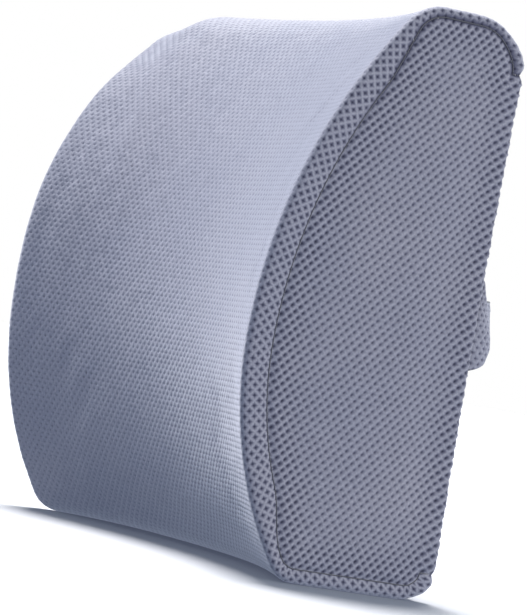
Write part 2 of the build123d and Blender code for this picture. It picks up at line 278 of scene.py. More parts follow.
def make_studio():
    """Three lights shape the object and leave the floor alone. A fourth lights only the floor, and from there
    comes the object's shadow."""
    bpy.context.scene.view_settings.view_transform = "Standard"
    make_world()
    floor = make_floor()
    key = sun("key", azimuth=-68, elevation=55, strength=5.5, softness=25)
    fill = sun("fill", azimuth=120, elevation=24, strength=2.3, softness=40, colour=(1.0, 0.965, 0.86))
    rear = sun("rear", azimuth=195, elevation=35, strength=1.2, softness=50)
    under = sun("floor_light", azimuth=264, elevation=68, strength=6.7, softness=30)
    for light, state in ((key, "EXCLUDE"), (fill, "EXCLUDE"), (rear, "EXCLUDE"), (under, "INCLUDE")):
        group = bpy.data.collections.new(f"{light.name}_receivers")
        group.objects.link(floor)
        group.collection_objects[0].light_linking.link_state = state
        light.light_linking.receiver_collection = group


# ---------------------------------------------------------------- materials


def spacer_mesh_material():
    """Blue-grey polyester spacer mesh: pale strands, pits painted dark navy as shade down in the holes, a
    knitted surface and a soft sheen.
    """
    graph = Graph(bpy.data.materials.new("spacer_mesh_knit"))
    attribute = graph.nodes.new("ShaderNodeAttribute")
    attribute.attribute_name = "pit"
    pit = attribute.outputs["Fac"]
    # painted shade: the pit attribute runs from the pale strands to near-black pit floors, and also darkens
    # the creases and the lower strands
    colour = graph.ramp(pit, (0.00, (0.310, 0.312, 0.375)), (0.30, (0.235, 0.238, 0.300)),
                        (0.62, (0.095, 0.098, 0.150)), (1.00, (0.012, 0.013, 0.032)))
    patches = graph.ramp(graph.noise(14.0, detail=2.0), (0.3, (0.90, 0.91, 0.95)), (0.7, (1.0, 0.99, 1.0)))
    yarn = graph.noise(900.0, detail=2.0)
    strands = graph.ramp(yarn, (0.3, (0.82, 0.82, 0.84)), (0.7, (1.12, 1.12, 1.12)))
    return graph.shaded(
        Base_Color=graph.tinted(graph.tinted(colour, patches), strands),
        Roughness=graph.span(pit, 0.62, 0.95),
        Sheen_Weight=0.6, Sheen_Roughness=0.4, Sheen_Tint=(0.92, 0.92, 1.0, 1), Specular_IOR_Level=0.3,
        Normal=graph.bump(yarn, depth=0.2, strength=0.6))


def woven_material(name, colour, shadow, first, second, depth, roughness=0.85, sheen=0.3):
    """A woven or knitted yarn fabric. Two sets of bands, each (axis, period), give its relief and its colour;
    where the bands are low, the shadow colour is painted in as shade between the yarns.
    """
    graph = Graph(bpy.data.materials.new(name))
    bands = graph.crossed(graph.wave(*first), graph.wave(*second))
    # painted shade: where the bands are low, between the yarns, the colour goes to the shadow colour
    yarn = graph.ramp(bands, (0.0, shadow), (0.6, colour))
    patches = graph.ramp(graph.noise(40.0), (0.3, (0.88, 0.88, 0.90)), (0.7, (1.06, 1.05, 1.05)))
    return graph.shaded(Base_Color=graph.tinted(yarn, patches), Roughness=roughness, Sheen_Weight=sheen,
                        Specular_IOR_Level=0.3, Normal=graph.bump(bands, depth, strength=0.8))


def foam_material():
    """Cream polyurethane foam with open cells, painted darker towards each cell's middle as shade in its
    pore.
    """
    graph = Graph(bpy.data.materials.new("open_cell_foam"))
    cells = graph.texture("ShaderNodeTexVoronoi", Scale=900.0).outputs["Distance"]
    # painted shade: darker towards each cell's middle, in the pores
    colour = graph.ramp(cells, (0.0, (0.55, 0.50, 0.38)), (0.35, (0.78, 0.74, 0.60)))
    clouds = graph.ramp(graph.noise(25.0), (0.3, (0.93, 0.92, 0.90)), (0.7, (1.0, 1.0, 1.0)))
    return graph.shaded(Base_Color=graph.tinted(colour, clouds), Roughness=0.95,
                        Normal=graph.bump(cells, depth=0.4, strength=1.0))


def smooth_material(name, colour, worn, roughness, grain, metallic=0.0):
    """Moulded or painted: a fine grain, slow changes of gloss, and faintly paler rubbed patches."""
    graph = Graph(bpy.data.materials.new(name))
    rubbed = graph.noise(120.0, detail=5.0)
    return graph.shaded(
        Base_Color=graph.ramp(rubbed, (0.45, colour), (0.75, worn)),
        Roughness=graph.span(rubbed, roughness - 0.08, roughness + 0.12), Metallic=metallic,
        Normal=graph.bump(graph.noise(3500.0, detail=1.0), grain, strength=0.5))


# ---------------------------------------------------------------- mesh helpers


def new_piece(name, points, faces, material, pit=None):
    """A smooth mesh object from points in millimetres and arrays of faces.
    Faces with no area are left out."""
    points = np.asarray(points, float)
    kept = []
    for corners in faces:
        across = points[corners[:, 2]] - points[corners[:, 0]]
        other = points[corners[:, -1]] - points[corners[:, 1]]
        if corners.shape[1] == 3:
            other = points[corners[:, 1]] - points[corners[:, 0]]
        kept.append(corners[np.linalg.norm(np.cross(across, other), axis=1) > MIN_FACE])
    used, renumbered = np.unique(np.concatenate([c.ravel() for c in kept]), return_inverse=True)
    sizes = np.concatenate([np.full(len(c), c.shape[1]) for c in kept])
    mesh = bpy.data.meshes.new(name)
    mesh.vertices.add(len(used))
    mesh.vertices.foreach_set("co", (points[used] * MM).astype(np.float32).ravel())
    mesh.loops.add(len(renumbered))
    mesh.loops.foreach_set("vertex_index", renumbered.astype(np.int32).ravel())
    mesh.polygons.add(len(sizes))
    mesh.polygons.foreach_set("loop_start", (np.cumsum(sizes) - sizes).astype(np.int32))
    mesh.polygons.foreach_set("use_smooth", np.ones(len(sizes), bool))
    if pit is not None:
        attribute = mesh.attributes.new("pit", "FLOAT", "POINT")
        attribute.data.foreach_set("value", np.asarray(pit, np.float32)[used])
    mesh.materials.append(material)
    mesh.update(calc_edges=True)
    mesh.validate()
    piece = bpy.data.objects.new(name, mesh)
    bpy.context.scene.collection.objects.link(piece)
    return piece


def grid_faces(rows, columns, start=0):
    """Quads of a grid whose points are numbered row by row."""
    index = start + np.arange(rows * columns).reshape(rows, columns)
    return np.stack([index[:-1, :-1], index[1:, :-1], index[1:, 1:], index[:-1, 1:]], axis=-1).reshape(-1, 4)


def rim_quads(rows, columns):
    """Quads that close a sheet's edges: from a grid's border to that of a second grid, numbered after it."""
    index = np.arange(rows * columns).reshape(rows, columns)
    border = np.concatenate([index[0, :-1], index[:-1, -1], index[-1, :0:-1], index[:0:-1, 0]])
    after = np.roll(border, -1)
    return np.stack([border, after, after + rows * columns, border + rows * columns], axis=1)


def pairs(a, b):
    """Every pair of these two coordinates, row by row."""
    return np.stack(np.meshgrid(a, b, indexing="ij"), axis=-1).reshape(-1, 2)


def surface(x, y, z):
    """A grid of points from coordinates that spread over it."""
    return np.stack(np.broadcast_arrays(x, y, z), axis=-1)


def unit(vectors):
    return vectors / np.linalg.norm(vectors, axis=-1, keepdims=True)


def sideways(line, *at, **options):
    """Unit normals of a flat line of points, a quarter turn clockwise from the way that it runs."""
    along = unit(np.gradient(line, *at, axis=0, **options))
    return np.stack([along[:, 1], -along[:, 0]], axis=1)


def run_of(path):
    """How far along a path each of its points is."""
    return np.concatenate([[0], np.cumsum(np.linalg.norm(np.diff(path, axis=0), axis=1))])


def tube(path, radius, sides=6):
    """Points and quads of a round tube along a path. The radius is one number, or one for each point."""
    path = np.asarray(path, float)
    along = unit(np.gradient(path, axis=0))
    across = np.zeros_like(path)
    upright = abs(along[0, 2]) > 0.9
    side = np.cross(along[0], (1.0, 0, 0) if upright else (0, 0, 1.0))
    for i, forward in enumerate(along):
        side = side - forward * (side @ forward)
        side /= np.linalg.norm(side)
        across[i] = side
    other = np.cross(along, across)
    turn = 2 * math.pi * np.arange(sides) / sides
    ring = across[:, None] * np.cos(turn)[None, :, None] + other[:, None] * np.sin(turn)[None, :, None]
    points = path[:, None] + ring * np.broadcast_to(radius, len(path))[:, None, None]
    index = np.arange(len(path) * sides).reshape(len(path), sides)
    ahead = np.roll(index, -1, axis=1)
    walls = np.stack([index[:-1], ahead[:-1], ahead[1:], index[1:]], axis=-1).reshape(-1, 4)
    caps = [[0, k, k + 1, k + 2] for k in range(1, sides - 2, 2)]
    start_cap = index[0][np.array(caps)][:, ::-1]
    end_cap = index[-1][np.array(caps)]
    return points.reshape(-1, 3), np.concatenate([walls, start_cap, end_cap])


def joined(parts):
    """Several (points, quads) as one."""
    starts = np.cumsum([0] + [len(points) for points, _ in parts])
    faces = [quads + start for (_, quads), start in zip(parts, starts)]
    return np.concatenate([points for points, _ in parts]), np.concatenate(faces)


def piece_of(name, parts, material):
    """One object made of several (points, quads)."""
    points, faces = joined(parts)
    return new_piece(name, points, [faces], material)


STITCH_LENGTH = 2.6
STITCH_GAP = 0.9
THREAD_R = 0.28
STITCH_SHAPE = (0.35, 0.9, 1.0, 0.9, 0.35)  # the thread's radius along a stitch, as a share of its own


def stitches(path, length=STITCH_LENGTH, gap=STITCH_GAP, radius=THREAD_R):
    """A row of stitches along a path: short threads that dive into the fabric at both ends."""
    path = np.asarray(path, float)
    run = run_of(path)
    made = []
    for start in np.arange(gap, run[-1] - length, length + gap):
        at = np.linspace(start, start + length, len(STITCH_SHAPE))
        points = np.stack([np.interp(at, run, path[:, k]) for k in range(3)], axis=1)
        made.append(tube(points, radius * np.array(STITCH_SHAPE)))
    return made


def finish_piece(piece, body, nodes=()):
    """Attaches a piece to the body that it rides on and hides the CAD nodes that it stands for."""
    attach(piece, body)
    if nodes:
        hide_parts(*nodes)


def blend_piece(piece, nodes=()):
    """A strap piece, with its place baked into its mesh; the CAD nodes that it stands for are hidden."""
    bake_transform(piece)
    if nodes:
        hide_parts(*nodes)


class Sheet:
    """A smooth surface on a regular grid of two coordinates, read by bilinear interpolation."""

    def __init__(self, a, b, points):
        self.a, self.b, self.points = a, b, points
        along_a = np.gradient(points, a, axis=0)
        along_b = np.gradient(points, b, axis=1)
        normals = np.cross(along_a, along_b)
        self.normals = normals / np.maximum(np.linalg.norm(normals, axis=2, keepdims=True), 1e-9)

    def read(self, values, ab):
        i = np.clip((ab[:, 0] - self.a[0]) / (self.a[1] - self.a[0]), 0, len(self.a) - 1.001)
        j = np.clip((ab[:, 1] - self.b[0]) / (self.b[1] - self.b[0]), 0, len(self.b) - 1.001)
        i0, j0 = i.astype(int), j.astype(int)
        fi, fj = (i - i0)[:, None], (j - j0)[:, None]
        low = values[i0, j0] * (1 - fi) + values[i0 + 1, j0] * fi
        high = values[i0, j0 + 1] * (1 - fi) + values[i0 + 1, j0 + 1] * fi
        return low * (1 - fj) + high * fj

    def at(self, ab):
        """Points and unit normals at these coordinates."""
        normals = self.read(self.normals, ab)
        normals /= np.maximum(np.linalg.norm(normals, axis=1, keepdims=True), 1e-9)
        return self.read(self.points, ab), normals


class Region:
    """A closed outline in a sheet's coordinates. It keeps points inside and tells how far the seam is."""

    def __init__(self, outline):
        self.start = np.asarray(outline, float)
        self.step = np.roll(self.start, -1, axis=0) - self.start

    def nearest(self, ab):
        """The nearest outline point to each point, and the distance to it."""
        best = np.full(len(ab), 1e9)
        foot = np.zeros_like(ab)
        for start, step in zip(self.start, self.step):
            length2 = max(float(step @ step), 1e-12)
            t = np.clip(((ab - start) @ step) / length2, 0, 1)
            here = start + t[:, None] * step
            gap = np.hypot(*(ab - here).T)
            closer = gap < best
            best[closer] = gap[closer]
            foot[closer] = here[closer]
        return foot, best

    def holds(self, ab):
        inside = np.zeros(len(ab), bool)
        end = self.start + self.step
        for (x0, y0), (x1, y1) in zip(self.start, end):
            if y0 == y1:
                continue
            crosses = (y0 > ab[:, 1]) != (y1 > ab[:, 1])
            x_there = x0 + (ab[:, 1] - y0) * (x1 - x0) / (y1 - y0)
            inside ^= crosses & (ab[:, 0] < x_there)
        return inside

    def gathered(self, ab):
        """Moves the points outside to the nearest seam: which they are, and every point's distance to it."""
        outside = ~self.holds(ab)
        foot, gap = self.nearest(ab)
        ab[outside] = foot[outside]
        gap[outside] = 0
        return outside, gap


# ---------------------------------------------------------------- spacer mesh with real holes

STRAND_HIGH = 0.50  # relief and shade of a hole's rising strands, the other strands and the knots between; the shade is painted: darker on the other strands and the knots than on the rising strands, which face the light
STRAND_LOW = -0.05
KNOT_HIGH = 0.26
STRAND_SHADE = 0.0
LOW_SHADE = 0.42
KNOT_SHADE = 0.08
PIT_DEEP = 0.95
# the pits and their rims are painted dark: painted shade down in the holes
PIT_SHADE = 0.80
RIM_SHADE = 0.45
SAME_POINT = 0.0173  # neighbouring cells share the points that are this close
HOLE_MOST = 0.92  # a hole's rim stays inside this share of its cell
PAINTED_CREASE_SHADE = 0.95  # painted shade along the seams' creases, darkest along the top
CREASE_WIDE = 1.5
CREASE_Z = 200.0, 90.0  # the painted crease shade comes in from this height, over this much
HOLE_SPREAD = 0.07  # random spreads, as shares of a size
CREST_SPREAD = 0.15
PIT_SPREAD = 0.10
WIDE_PIT_SHADE = 1.2  # how much more painted shade a pit gets as its hole widens
LINING_SHADE = 0.5


class Knit:
    """A staggered lattice of holes: pitch along a row and row distance in millimetres, tilt in degrees."""

    def __init__(self, pitch, row, tilt=0.0, hole=(1.4, 1.4), fine=False, relief=1.0):
        """hole gives a hole's half length along the rising strands and its half width across them."""
        self.pitch, self.row, self.tilt, self.relief = pitch, row, math.radians(tilt), relief
        half, rise = pitch / 2, (row**2 - (pitch / 2) ** 2) / (2 * row)
        corners = [(half, rise), (0, row - rise), (-half, rise),
                   (-half, -rise), (0, rise - row), (half, -rise)]
        ring, height, shade = [], [], []
        for k, corner in enumerate(corners):
            ring.append(corner)
            height.append(KNOT_HIGH)
            shade.append(KNOT_SHADE)
            if fine and k not in (2, 5):
                after = corners[(k + 1) % 6]
                rising = k in (1, 4)  # these edges carry the strands that rise towards +b as a grows
                ring.append(((corner[0] + after[0]) / 2, (corner[1] + after[1]) / 2))
                height.append(STRAND_HIGH if rising else STRAND_LOW)
                # painted shade: strands that don't rise are painted darker than the rising ones
                shade.append(STRAND_SHADE if rising else LOW_SHADE)
        self.ring, self.height, self.shade = np.array(ring), np.array(height), np.array(shade)
        rise = math.atan2(row, half)
        turn = np.arctan2(self.ring[:, 1], self.ring[:, 0]) - rise
        reach = 1 / np.hypot(np.cos(turn) / hole[0], np.sin(turn) / hole[1])
        self.rim = np.stack([reach * np.cos(turn + rise), reach * np.sin(turn + rise)], axis=1)
        self.most = HOLE_MOST * np.hypot(*self.ring.T) / reach  # how much each rim point may grow

    def cells(self, low, high):
        """Hole centres that cover the rectangle from low to high."""
        centre = (np.array(low) + high) / 2
        reach = np.hypot(*(np.array(high) - low)) / 2 + self.pitch
        rows = np.arange(-int(reach / self.row) - 1, int(reach / self.row) + 2)
        steps = np.arange(-int(reach / self.pitch) - 1, int(reach / self.pitch) + 2)
        a = steps[None] * self.pitch + (rows[:, None] % 2) * self.pitch / 2
        b = np.repeat(rows[:, None] * self.row, len(steps), axis=1)
        flat = np.stack([a.ravel(), b.ravel()], axis=1)
        found = centre + self.turned(flat)
        room = self.pitch
        inside = np.all((found > np.array(low) - room) & (found < np.array(high) + room), axis=1)
        return found[inside]

    def turned(self, ab):
        c, s = math.cos(self.tilt), math.sin(self.tilt)
        return np.stack([ab[:, 0] * c - ab[:, 1] * s, ab[:, 0] * s + ab[:, 1] * c], axis=1)


def knitted(name, knit, sheet, region, material, flip=False, thick=COVER_THICK, seam_depth=SEAM_DEPTH,
            widen=None):
    """A panel of spacer mesh on a sheet, cut to its region, with a plain lining at its back.

    Points outside the region move to the nearest point of its seam, where the fabric dips into the crease."""
    low, high = region.start.min(0), region.start.max(0)
    centres = knit.cells(low, high)
    ring, rim = knit.turned(knit.ring), knit.turned(knit.rim)
    near = region.holds(centres) | (region.nearest(centres)[1] < knit.pitch)
    centres = centres[near]
    touches = region.holds((centres[:, None] + ring[None]).reshape(-1, 2)).reshape(len(centres), -1)
    centres = centres[touches.any(axis=1)]
    count, sides = len(centres), len(ring)
    outer = (centres[:, None] + ring[None]).reshape(-1, 2)
    keys = np.round(outer / SAME_POINT).astype(int)
    _, first, shared = np.unique(keys, axis=0, return_index=True, return_inverse=True)
    shared = shared.reshape(-1)
    wide = widen(centres, region) if widen else np.zeros(count)
    size = 1 + HOLE_SPREAD * rng.standard_normal((count, 1, 1)) + wide[:, None, None]
    size = np.minimum(size, knit.most[None, :, None])
    inner = (centres[:, None] + rim[None] * size).reshape(-1, 2)
    ab = np.concatenate([outer[first], inner, centres])
    crest = np.tile(knit.height, count)[first] * (1 + CREST_SPREAD * rng.standard_normal(len(first)))
    deep = -PIT_DEEP * (1 + PIT_SPREAD * rng.standard_normal(count))
    relief = np.concatenate([crest, np.zeros(count * sides), deep])
    # painted shade: the pits and their rims are painted dark, the more so where the holes open wide
    dark = np.clip(PIT_SHADE + WIDE_PIT_SHADE * wide, 0, 1)
    pit = np.concatenate([np.tile(knit.shade, count)[first], np.repeat(RIM_SHADE * dark, sides), dark])

    gap = region.gathered(ab)[1]
    relief = knit.relief * relief * smooth(gap / SEAM_WIDE) - seam_depth * np.exp(-((gap / SEAM_WIDE) ** 2))
    relief += seam_puckers(ab, gap)
    points, normals = sheet.at(ab)
    points = points + (normals if not flip else -normals) * relief[:, None]
    points = warped(points)
    # painted shade in the seams' creases, strongest along the top
    crease = PAINTED_CREASE_SHADE * eased(points[:, 2], *CREASE_Z) * np.exp(-((gap / CREASE_WIDE) ** 2))
    pit = np.maximum(pit, crease)

    index = np.arange(count * sides).reshape(count, sides)
    out_index = shared.reshape(count, sides)
    in_index = len(first) + index
    middle = len(first) + count * sides + np.arange(count)
    ahead = np.roll(np.arange(sides), -1)
    walls = np.stack([out_index, out_index[:, ahead], in_index[:, ahead], in_index], axis=-1).reshape(-1, 4)
    floors = np.stack([in_index, in_index[:, ahead], np.repeat(middle[:, None], sides, axis=1)], axis=-1)
    floors = floors.reshape(-1, 3)
    lining, lining_faces = lining_of(sheet, region, flip, len(points), thick, seam_depth)
    faces = [walls, floors]
    if flip:
        faces = [f[:, ::-1] for f in faces]
    return new_piece(name, np.concatenate([points, lining]), faces + [lining_faces], material,
                     pit=np.concatenate([pit, np.full(len(lining), LINING_SHADE)]))


LINING_STEP = 3.0


def lining_of(sheet, region, flip, start, thick, seam_depth):
    """The fabric's plain inner face, which closes the panel along its seams."""
    low, high = region.start.min(0), region.start.max(0)
    a = np.linspace(low[0], high[0], int((high[0] - low[0]) / LINING_STEP) + 2)
    b = np.linspace(low[1], high[1], int((high[1] - low[1]) / LINING_STEP) + 2)
    ab = pairs(a, b)
    outside, gap = region.gathered(ab)
    sink = seam_depth + (thick - seam_depth) * smooth(gap / (2 * thick))
    points, normals = sheet.at(ab)
    points = warped(points - (normals if not flip else -normals) * sink[:, None])
    faces = grid_faces(len(a), len(b))
    faces = faces[~outside[faces].all(axis=1)] + start
    return points, (faces if flip else faces[:, ::-1])


PUCKER_HIGH = 0.35
PUCKER_FADE = 9.0


def seam_puckers(ab, gap):
    """Small uneven folds that run off a seam and fade within about 20 mm of it."""
    a, b = ab.T
    wave = np.sin(a * 0.31 + 1.7 * np.sin(b * 0.043)) * np.sin(b * 0.27 + 2.1 * np.sin(a * 0.037))
    return PUCKER_HIGH * wave * np.exp(-gap / PUCKER_FADE) * smooth(gap / SEAM_WIDE)


# Below, a pair of numbers says where a change starts and over what length it comes in.
DIP_Z = 200, 110
LIFT_Z = 70, -70
LIFT_Y = 30, -50
LOBE_FULL = 4.0
LOBE_X = 0.35 * HALF, 0.6 * HALF
LOBE_Y = BACK_Y - 20, -30
LOBE_Z, LOBE_HIGH = 205, 60
CORNER_DROOP = 12.0
DROOP_X = 128, 42
DROOP_Y = BACK_Y - 18, -50
DROOP_Z = 250, 70
EDGE_RIDGE = 1.7  # how far the back's upright edges stand proud, and how much further at their ends
ENDS_RIDGE = 2.2
RIDGE_REACH = 12  # the ridge starts this far in from the edge
RIDGE_OVER = 10


def warped(points):
    """The foam's give: the top edge dips and the front of the base lifts a little between the side edges.
    The left lobe is fuller than the right one, and its top corner droops."""
    x, y, z = points[:, 0], points[:, 1], points[:, 2]
    middle = np.clip(1 - (x / HALF) ** 2, 0, 1)
    dip = TOP_DIP * middle * eased(z, *DIP_Z)
    lift = BASE_LIFT * middle * eased(z, *LIFT_Z) * eased(y, *LIFT_Y)
    full = LOBE_FULL * eased(-x, *LOBE_X) * eased(y, *LOBE_Y) * np.exp(-(((z - LOBE_Z) / LOBE_HIGH) ** 2))
    droop = CORNER_DROOP * eased(-x, *DROOP_X) * eased(z, *DROOP_Z) * eased(y, *DROOP_Y)
    ridge = EDGE_RIDGE + ENDS_RIDGE * ((z - HEIGHT / 2) / (HEIGHT / 2)) ** 2
    ridge = ridge * smooth((np.abs(x) - HALF + RIDGE_REACH) / RIDGE_OVER)
    moved = points.copy()
    moved[:, 1] = y - full + ridge * smooth((y - BACK_Y + RIDGE_REACH) / RIDGE_REACH)
    moved[:, 2] = np.maximum(z - dip - droop + lift, 0)
    return moved


# ---------------------------------------------------------------- cushion form

GRID = 2.0
FINE_GRID = 0.5


def back_radius(x, up):
    """How much the wrap rounds the top's or the base's back edge at this x: most at the top's corners."""
    if up < 0:
        return BASE_BACK_R + 0 * x
    return TOP_BACK_R + TOP_BACK_MORE * (x / HALF) ** 2


SEAM_EXTRA = 30.0  # how far outline_half runs past the back seam


def outline_half(x, up):
    """The wrap's section at this x, from the waist to the top (up = 1) or the base (up = -1) and on past the
    back seam: y, z and the length to each point."""
    depth, corner_r = (TOP_DEPTH, TOP_FRONT_R) if up > 0 else (BASE_DEPTH, BASE_FRONT_R)
    back_r = back_radius(x, up)
    edge_z = HEIGHT if up > 0 else 0.0
    rise = abs(edge_z - WAIST_Z)
    run = math.hypot(HALF, AXIS_OUT - depth) - WAIST_R
    main_r = (run**2 + rise**2) / (2 * run)
    centre_r = WAIST_R + main_r
    corner_rise = rise - corner_r
    corner_run = math.sqrt((main_r - corner_r) ** 2 - corner_rise**2)
    turn = math.atan2(corner_rise, corner_run)
    sweep = np.linspace(0, turn, 90)
    corner = np.linspace(turn, math.pi / 2, 24)[1:]
    radius = np.concatenate([centre_r - main_r * np.cos(sweep),
                             centre_r - corner_run - corner_r * np.cos(corner)])
    lift = np.concatenate([main_r * np.sin(sweep), corner_rise + corner_r * np.sin(corner)])
    y = AXIS_Y + np.sqrt(radius**2 - x**2)
    back = np.linspace(math.pi / 2, 0, 24)
    y = np.concatenate([y, BACK_Y - back_r + back_r * np.cos(back), [BACK_Y]])
    lift = np.concatenate([lift, rise - back_r + back_r * np.sin(back), [rise - back_r - SEAM_EXTRA]])
    length = np.concatenate([[0], np.cumsum(np.hypot(np.diff(y), np.diff(lift)))])
    return y, WAIST_Z + up * lift, length


def column(x, s):
    """Points (y, z) of the wrap's section at this x, at arc lengths s from the waist, up or down."""
    found = np.zeros((len(s), 2))
    for up in (1, -1):
        y, z, length = outline_half(x, up)
        here = s * up >= 0
        found[here, 0] = np.interp(s[here] * up, length, y)
        found[here, 1] = np.interp(s[here] * up, length, z)
    return found


def seam_arc(x, up):
    """Arc length from the waist to the back seam at this x."""
    return up * (outline_half(x, up)[2][-1] - SEAM_EXTRA)


TOP_BAND = 1.0
BASE_BAND = 3.0
FRONT_BAND = 11.0
TOP_CHANGE = 130, 60  # the band changes this far before the top's back seam, over this length
BASE_CHANGE = 150, 40  # the same for the base


def side_band(s):
    """How far the wrap's fabric runs onto the side face past its rounded edge."""
    top_s, base_s = seam_arc(HALF, 1), seam_arc(HALF, -1)
    towards_top = eased(s, top_s - TOP_CHANGE[0], TOP_CHANGE[1])
    towards_base = eased(s, base_s + BASE_CHANGE[0], -BASE_CHANGE[1])
    return FRONT_BAND + (TOP_BAND - FRONT_BAND) * towards_top + (BASE_BAND - FRONT_BAND) * towards_base


def rounding(start, corner, end, t):
    """A rounded edge: a quadratic curve from start to end, tangent to both faces that meet at the corner."""
    t = t[..., None]
    return start * (1 - t) ** 2 + corner * 2 * t * (1 - t) + end * t**2


ARC = 1.62  # such a curve's length, where both its sides are 1
EDGE_ARC = ARC * EDGE
BACK_ARC = ARC * BACK_EDGE
FLAT_A = WAIST_R * math.asin((HALF - EDGE) / WAIST_R)  # from the middle to where the rounding starts
SPARE = 4.0  # how far a sheet runs past its panel's seams


def wrap_sheet():
    """The wrap over the whole front, base and top, round both side edges and onto the side faces."""
    reach = FLAT_A + EDGE_ARC + FRONT_BAND + SPARE
    s_low, s_high = seam_arc(HALF, -1) - SPARE, seam_arc(HALF, 1) + SPARE
    a = np.linspace(-reach, reach, int(2 * reach / GRID) + 1)
    s = np.linspace(s_low, s_high, int((s_high - s_low) / GRID) + 1)
    points = np.zeros((len(a), len(s), 3))
    rim = column(HALF, s)
    inward = sideways(rim, s)
    for i, here in enumerate(a):
        end = 1 if here > 0 else -1
        past = abs(here) - FLAT_A
        if past <= 0:
            x = WAIST_R * math.sin(here / WAIST_R)
            points[i, :, 0] = x
            points[i, :, 1:] = column(x, s)
            continue
        face = np.concatenate([np.full((len(s), 1), end * HALF), rim + inward * EDGE], axis=1)
        if past <= EDGE_ARC:
            inner = column(HALF - EDGE, s)
            front = np.concatenate([np.full((len(s), 1), end * (HALF - EDGE)), inner], axis=1)
            sharp = np.concatenate([np.full((len(s), 1), end * HALF), rim], axis=1)
            points[i] = rounding(front, sharp, face, np.full(len(s), past / EDGE_ARC))
        else:
            points[i, :, 0] = end * HALF
            points[i, :, 1:] = rim + inward * (EDGE + past - EDGE_ARC)
    return Sheet(a, s, points)


def wrap_region():
    """The wrap's cut: side seams along both bands, and the two back seams."""
    s = np.linspace(seam_arc(HALF, -1), seam_arc(HALF, 1), 160)
    right = np.stack([FLAT_A + EDGE_ARC + side_band(s), s], axis=1)
    x = np.linspace(HALF, -HALF, 40)
    top = np.stack([WAIST_R * np.arcsin(x / WAIST_R), [seam_arc(v, 1) for v in x]], axis=1)
    left = right[::-1] * [-1, 1]
    base = np.stack([WAIST_R * np.arcsin(-x / WAIST_R), [seam_arc(v, -1) for v in x]], axis=1)
    return Region(np.concatenate([right, top, left, base]))


def side_seam():
    """The side panel's curved seam (y, z), from the base's back corner round the front to the top's."""
    s = np.linspace(seam_arc(HALF, -1), seam_arc(HALF, 1), 300)
    rim = column(HALF, s)
    return rim + sideways(rim, s, edge_order=2) * (EDGE + side_band(s))[:, None]


def side_sheet(end):
    """A side face, flat until it rounds the back edge. Its coordinates are y and z."""
    y = np.arange(BACK_Y - WAIST_DEPTH - 2 * SPARE, BACK_Y + BACK_ARC, FINE_GRID)
    z = np.arange(-GRID, HEIGHT + SPARE, GRID)
    past = y - (BACK_Y - BACK_EDGE)
    t = np.clip(past / BACK_ARC, 0, 1)
    corners = (HALF, BACK_Y - BACK_EDGE), (HALF, BACK_Y), (HALF - BACK_EDGE, BACK_Y)
    bend = rounding(*(np.array(corner) for corner in corners), t)
    x = end * np.where(past > 0, bend[:, 0], HALF)
    return Sheet(y, z, surface(x[:, None], np.where(past > 0, bend[:, 1], y)[:, None], z[None]))


def side_region():
    seam = side_seam()
    edge = BACK_Y - BACK_EDGE + BACK_ARC
    back = [(edge, HEIGHT - back_radius(HALF, 1)), (edge, back_radius(HALF, -1))]
    return Region(np.concatenate([seam, back]))


def back_sheet():
    x = np.arange(-HALF, HALF + GRID, GRID)
    z = np.arange(-GRID, HEIGHT + SPARE, GRID)
    return Sheet(x, z, surface(x[:, None], BACK_Y, z[None]))


def back_region(level):
    edge = HALF - BACK_EDGE
    slot = ZIP_Z + SLOT_HALF if level == "upper" else ZIP_Z - SLOT_HALF
    x = np.linspace(edge, -edge, 40)
    far = np.stack([x, HEIGHT - back_radius(x, 1) if level == "upper" else back_radius(x, -1)], axis=1)
    turn = np.linspace(0, math.pi / 2, 9)
    corner = np.stack([ZIP_HALF - SLOT_CORNER_R * (1 - np.cos(turn)),
                       slot - np.sign(slot - ZIP_Z) * SLOT_CORNER_R * (1 - np.sin(turn))], axis=1)
    left = corner * [-1, 1]
    return Region(np.concatenate([[(-edge, ZIP_Z), (-ZIP_HALF, ZIP_Z)], left, corner[::-1],
                                  [(ZIP_HALF, ZIP_Z), (edge, ZIP_Z)], far]))


EDGE_OPEN = 0.52
FRONT_CLOSED = 0.22
SEAM_OPEN = 0.28
SEAM_OPEN_WIDE = 14.0


def wider_at_edge(centres, _region):
    """The wrap's knit is pulled open where it turns onto the side faces, and closed a little elsewhere."""
    return EDGE_OPEN * smooth((np.abs(centres[:, 0]) - FLAT_A) / EDGE_ARC) - FRONT_CLOSED


def wider_at_seam(centres, region):
    return SEAM_OPEN * np.exp(-((region.nearest(centres)[1] / SEAM_OPEN_WIDE) ** 2))


SEAM_THREAD_R = 0.34
SEAM_SINK = 1.45
SEAM_STEPS = 80


def seam_lines(sink):
    """The cover's seams as lines of points, this deep: round both side panels, and round the back panels."""
    seam = side_seam()
    back = BACK_Y - sink
    edge = HALF - BACK_EDGE
    rounded = BACK_Y - BACK_EDGE
    whole = np.concatenate([[(rounded, seam[0][1])], seam, [(rounded, seam[-1][1])]])
    x = np.linspace(-edge, edge, SEAM_STEPS)
    lines = [np.stack([x, np.full(SEAM_STEPS, back), z], axis=1)
             for z in (HEIGHT - back_radius(x, 1), back_radius(x, -1))]
    for end in (-1, 1):
        lines.append(np.concatenate([np.full((len(whole), 1), end * (HALF - sink)), whole], axis=1))
        lines.append(np.linspace((end * edge, back, seam[0][1]), (end * edge, back, seam[-1][1]), SEAM_STEPS))
        lines.append(np.linspace((end * ZIP_HALF, back, ZIP_Z), (end * edge, back, ZIP_Z), SEAM_STEPS))
    return lines


def make_seams(thread):
    """Dark thread down in the creases."""
    threads = [tube(warped(line), SEAM_THREAD_R) for line in seam_lines(SEAM_SINK)]
    piece = piece_of("cover_seam_thread", threads, thread)
    finish_piece(piece, "cushion")


# ---------------------------------------------------------------- cloth simulation of the padded cover

